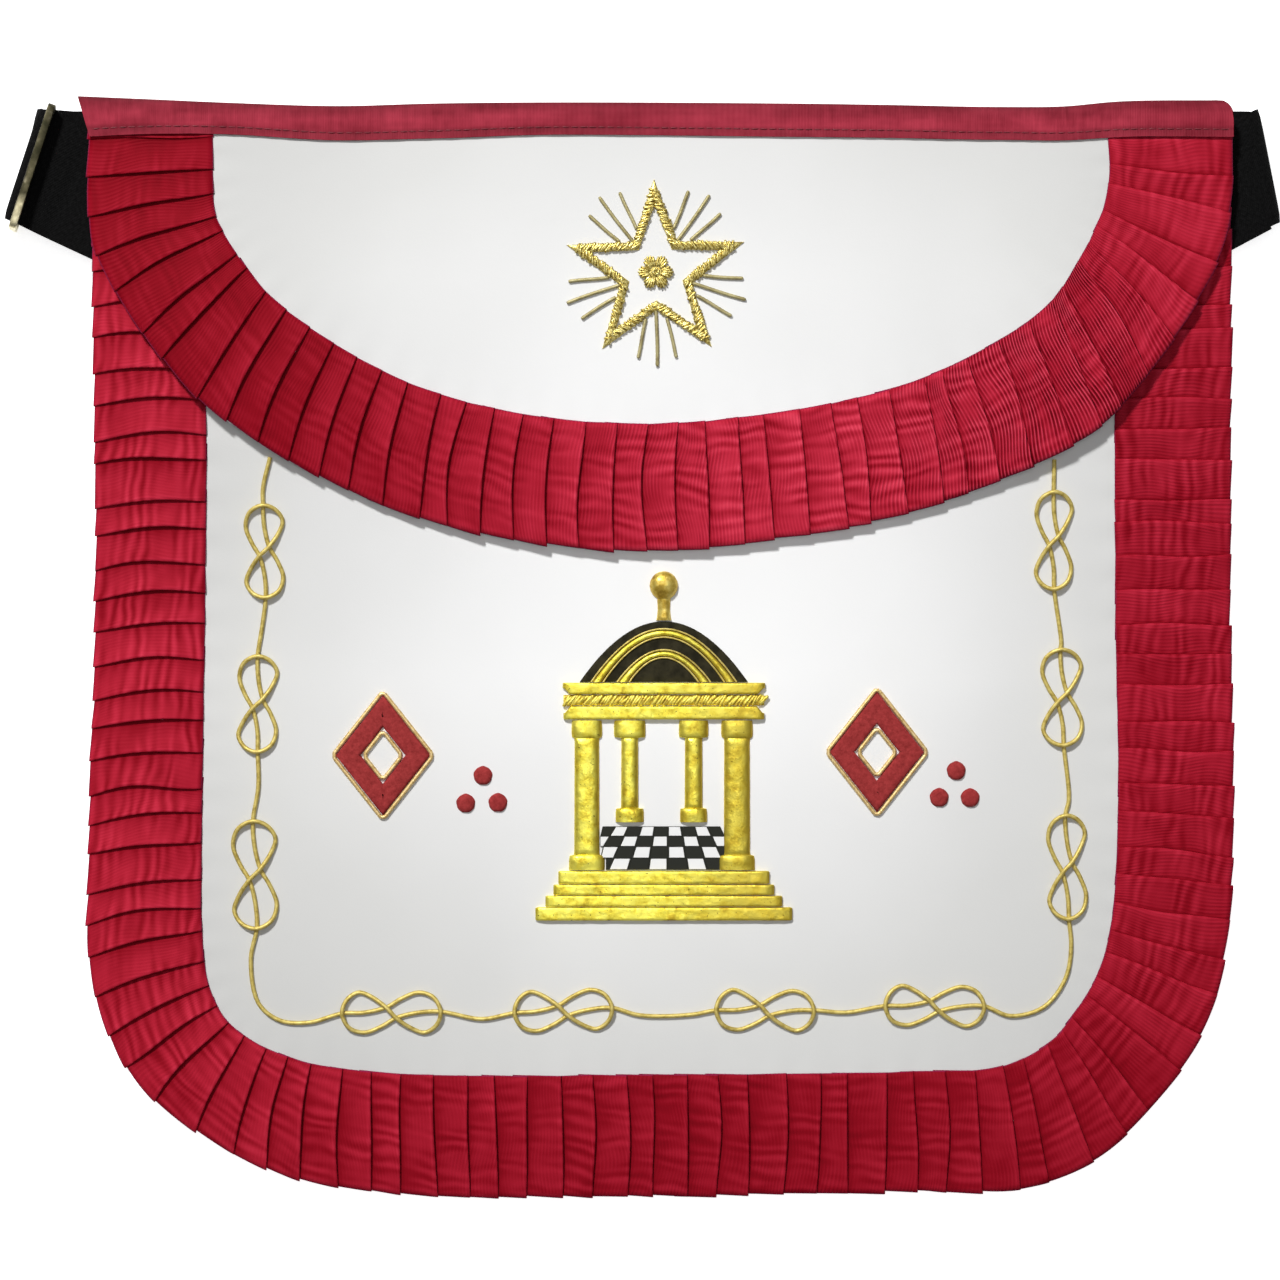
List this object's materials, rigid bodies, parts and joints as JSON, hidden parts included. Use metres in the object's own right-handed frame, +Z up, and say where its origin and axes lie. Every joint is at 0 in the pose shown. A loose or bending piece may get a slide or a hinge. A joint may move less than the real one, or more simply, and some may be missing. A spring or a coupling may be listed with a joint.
{
  "type": "masonic apron",
  "caption": "Square white leather apron with rounded corners, pleated red ribbon border, half-moon flap, gold embroidery and a closed black elastic waist belt, lying flat.",
  "frame": {"origin": "on the table, under the middle of the whole apron with its belt", "axes": "+Z up out of the table and the embroidered face, +Y towards the waist edge, +X along the waist to the right as the face is seen"},
  "size_m": [0.4428, 0.381, 0.0188],
  "materials": {
    "white_leather": "soft matt white apron leather",
    "red_ribbon": "pleated moire ribbon with a silky sheen",
    "band_ribbon": "matt grosgrain",
    "black_elastic": "ribbed elastic webbing",
    "old_brass": "tarnished brass",
    "gold_cord": "twisted gold cord",
    "gold_foil": "padded embroidery in gold metal thread",
    "gold_bullion": "cut gold bullion wire",
    "red_felt": "brushed felt",
    "dome_cloth": "dark green woven cloth",
    "checker_cloth": "satin in black and white squares"
  },
  "bodies": {
    "root": {"apron_body": "white_leather", "flap": "white_leather", "body_ruffle": "red_ribbon", "flap_ruffle": "red_ribbon", "waist_band": "band_ribbon", "belt_left": "black_elastic", "belt_right": "black_elastic", "belt_slide": "old_brass", "belt_clasp": "old_brass", "star_outline": "gold_bullion", "star_ray_1": "gold_cord", "star_ray_2": "gold_cord", "star_ray_3": "gold_cord", "star_ray_4": "gold_cord", "star_ray_5": "gold_cord", "star_ray_6": "gold_cord", "star_ray_7": "gold_cord", "star_ray_8": "gold_cord", "star_ray_9": "gold_cord", "star_ray_10": "gold_cord", "star_ray_11": "gold_cord", "star_ray_12": "gold_cord", "star_ray_13": "gold_cord", "star_ray_14": "gold_cord", "star_ray_15": "gold_cord", "rosette": "gold_bullion", "temple_step_1": "gold_foil", "temple_step_2": "gold_foil", "temple_step_3": "gold_foil", "temple_step_4": "gold_foil", "temple_cornice": "gold_foil", "temple_rope_band": "gold_foil", "temple_architrave": "gold_foil", "temple_front_column_left": "gold_foil", "temple_back_column_left": "gold_foil", "temple_back_column_right": "gold_foil", "temple_front_column_right": "gold_foil", "temple_dome": "dome_cloth", "temple_arch_outer": "gold_foil", "temple_arch_inner": "gold_foil", "temple_finial": "gold_foil", "temple_pavement": "checker_cloth", "lozenge_left": "red_felt", "lozenge_left_outer_cord": "gold_cord", "lozenge_left_inner_cord": "gold_cord", "lozenge_right": "red_felt", "lozenge_right_outer_cord": "gold_cord", "lozenge_right_inner_cord": "gold_cord", "dot_1": "red_felt", "dot_2": "red_felt", "dot_3": "red_felt", "dot_4": "red_felt", "dot_5": "red_felt", "dot_6": "red_felt", "knotted_cord": "gold_cord"}
  },
  "joints": []
}
